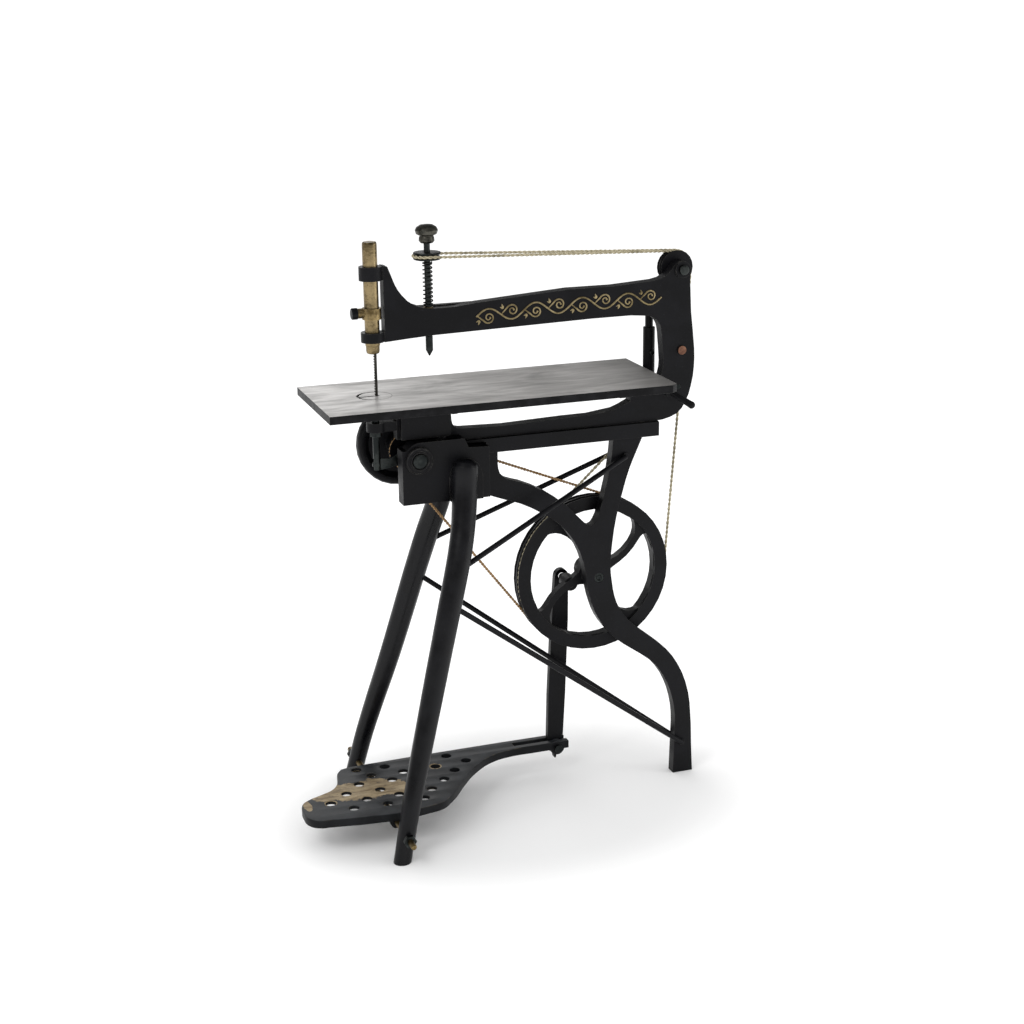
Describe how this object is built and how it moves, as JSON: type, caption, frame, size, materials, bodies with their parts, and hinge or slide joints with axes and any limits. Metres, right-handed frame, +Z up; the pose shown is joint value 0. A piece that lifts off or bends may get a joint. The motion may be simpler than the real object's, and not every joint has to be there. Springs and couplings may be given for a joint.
{
  "type": "treadle scroll saw",
  "caption": "Treadle-driven cast iron scroll saw: C-shaped frame with a vertical saw spindle and blade over a tilting table, flywheel and cord drive, cord-driven hand-fed drill on the arm.",
  "frame": {"origin": "bottom centre of the bounding box, on the floor", "axes": "+X from the front edge of the table to the rear, +Y towards the flywheel's side, +Z up"},
  "size_m": [0.861, 0.49, 1.199],
  "materials": {
    "black_paint": "semi-gloss blue-black enamel, rubbed to brass-brown on a few edges",
    "slate_paint": "dark slate paint worn through to tan metal in the middle",
    "table_metal": "grey, streaked lengthwise",
    "brass": "satin, finely speckled",
    "copper": "dull copper-brown",
    "steel": "dark oiled steel",
    "brown_cord": "two-ply twisted cord",
    "olive_cord": "two-ply twisted cord"
  },
  "bodies": {
    "frame": {"saw_frame": "black_paint", "stand_casting": "black_paint", "front_leg_near": "black_paint", "front_leg_far": "black_paint", "front_housing": "black_paint", "upper_brace_near": "black_paint", "upper_brace_far": "black_paint", "lower_brace_near": "black_paint", "lower_brace_far": "black_paint", "column_bolt": "copper", "housing_dowel_upper": "steel", "housing_dowel_lower": "steel", "axle_nut_near": "steel", "axle_nut_far": "steel", "flywheel_shaft": "steel", "shaft_collar": "steel", "rocker_pin": "steel", "lower_spindle_nut": "steel", "tilt_pin_front": "steel", "tilt_pin_rear": "steel", "drill_bush": "brass", "drill_spring": "steel", "idler_axle": "steel", "cord_guide": "steel", "drive_cord": "brown_cord", "drill_cord": "olive_cord", "treadle_axle": "steel", "post_tube": "black_paint", "post_screw": "steel"},
    "flywheel": {"flywheel": "black_paint", "crank_pin": "steel"},
    "front_shaft": {"front_shaft": "steel", "crank_journal": "steel", "drive_pulley": "black_paint", "balance_wheel": "black_paint"},
    "rocker": {"rocker_lever": "steel"},
    "saw_spindle": {"upper_spindle": "brass", "blade_nose": "brass", "spindle_collar": "brass", "saw_blade": "steel", "lower_spindle": "steel"},
    "thumb_screw": {"thumb_screw": "steel"},
    "table": {"table": "table_metal", "throat_insert": "table_metal", "tilt_bracket_front": "black_paint", "tilt_bracket_rear": "black_paint"},
    "clamp_lever": {"clamp_lever": "black_paint"},
    "drill_quill": {"drill_knob": "steel", "drill_cord_loop": "olive_cord"},
    "drill_spindle": {"drill_spindle": "steel", "drill_pulley": "steel", "drill_bit": "steel"},
    "idler_near": {"idler_near": "black_paint"},
    "idler_far": {"idler_far": "black_paint"},
    "treadle": {"treadle": "slate_paint", "pitman_pin": "steel"},
    "pitman": {"pitman": "black_paint"},
    "post_rod": {"post_rod": "black_paint"}
  },
  "joints": [
    {"name": "flywheel_spin", "type": "hinge", "parent": "frame", "child": "flywheel", "pos_m": [0.2155, 0.033, 0.462], "axis": [0, 1, 0], "continuous": true},
    {"name": "front_shaft_spin", "type": "hinge", "parent": "frame", "child": "front_shaft", "pos_m": [-0.1685, 0, 0.757], "axis": [0, 1, 0], "continuous": true},
    {"name": "idler_near_spin", "type": "hinge", "parent": "frame", "child": "idler_near", "pos_m": [0.3915, 0.02, 1.081], "axis": [0, 1, 0], "continuous": true},
    {"name": "idler_far_spin", "type": "hinge", "parent": "frame", "child": "idler_far", "pos_m": [0.3915, 0.0305, 1.081], "axis": [0, 1, 0], "continuous": true},
    {"name": "drill_feed", "type": "slide", "parent": "frame", "child": "drill_quill", "axis": [0, 0, 1], "range_m": [-0.05, 0], "stiffness_N_per_m": 300, "springref_m": 0.02, "deforming": ["drill_spring"]},
    {"name": "drill_spin", "type": "hinge", "parent": "drill_quill", "child": "drill_spindle", "pos_m": [-0.1285, 0, 1.14], "axis": [0, 0, 1], "continuous": true},
    {"name": "blade_stroke", "type": "slide", "parent": "frame", "child": "saw_spindle", "axis": [0, 0, 1], "range_m": [-0.019, 0.019]},
    {"name": "rocker_swing", "type": "hinge", "parent": "frame", "child": "rocker", "pos_m": [-0.1045, 0, 0.745], "axis": [0, 1, 0], "range_deg": [-8.2, 8.2]},
    {"name": "thumb_screw_turn", "type": "hinge", "parent": "saw_spindle", "child": "thumb_screw", "pos_m": [-0.2695, 0, 1.04], "axis": [1, 0, 0], "range_deg": [-180, 180]},
    {"name": "table_tilt", "type": "hinge", "parent": "frame", "child": "table", "pos_m": [0.0835, 0, 0.878], "axis": [1, 0, 0], "range_deg": [-8, 25]},
    {"name": "clamp_lever_turn", "type": "hinge", "parent": "frame", "child": "clamp_lever", "pos_m": [0.3585, -0.02, 0.842], "axis": [0, 1, 0], "range_deg": [-40, 40]},
    {"name": "treadle_rock", "type": "hinge", "parent": "frame", "child": "treadle", "pos_m": [-0.2575, 0, 0.052], "axis": [0, 1, 0], "range_deg": [-9.8, 4]},
    {"name": "pitman_swing", "type": "hinge", "parent": "treadle", "child": "pitman", "pos_m": [0.1535, 0.092, 0.061], "axis": [0, 1, 0], "range_deg": [-4.1, 9.9]},
    {"name": "post_slide", "type": "slide", "parent": "frame", "child": "post_rod", "axis": [0, 0, 1], "range_m": [0, 0.06]}
  ],
  "couplings": [
    {"joint": "front_shaft_spin", "follows": "flywheel_spin", "ratio": 4.9231},
    {"joint": "idler_near_spin", "follows": "flywheel_spin", "ratio": 4.9231},
    {"joint": "idler_far_spin", "follows": "flywheel_spin", "ratio": -4.9231},
    {"joint": "drill_spin", "follows": "flywheel_spin", "ratio": 6.0377},
    {"joint": "rocker_swing", "follows": "blade_stroke", "rad_per_m": 7.4074},
    {"joint": "pitman_swing", "follows": "treadle_rock", "ratio": -1}
  ]
}
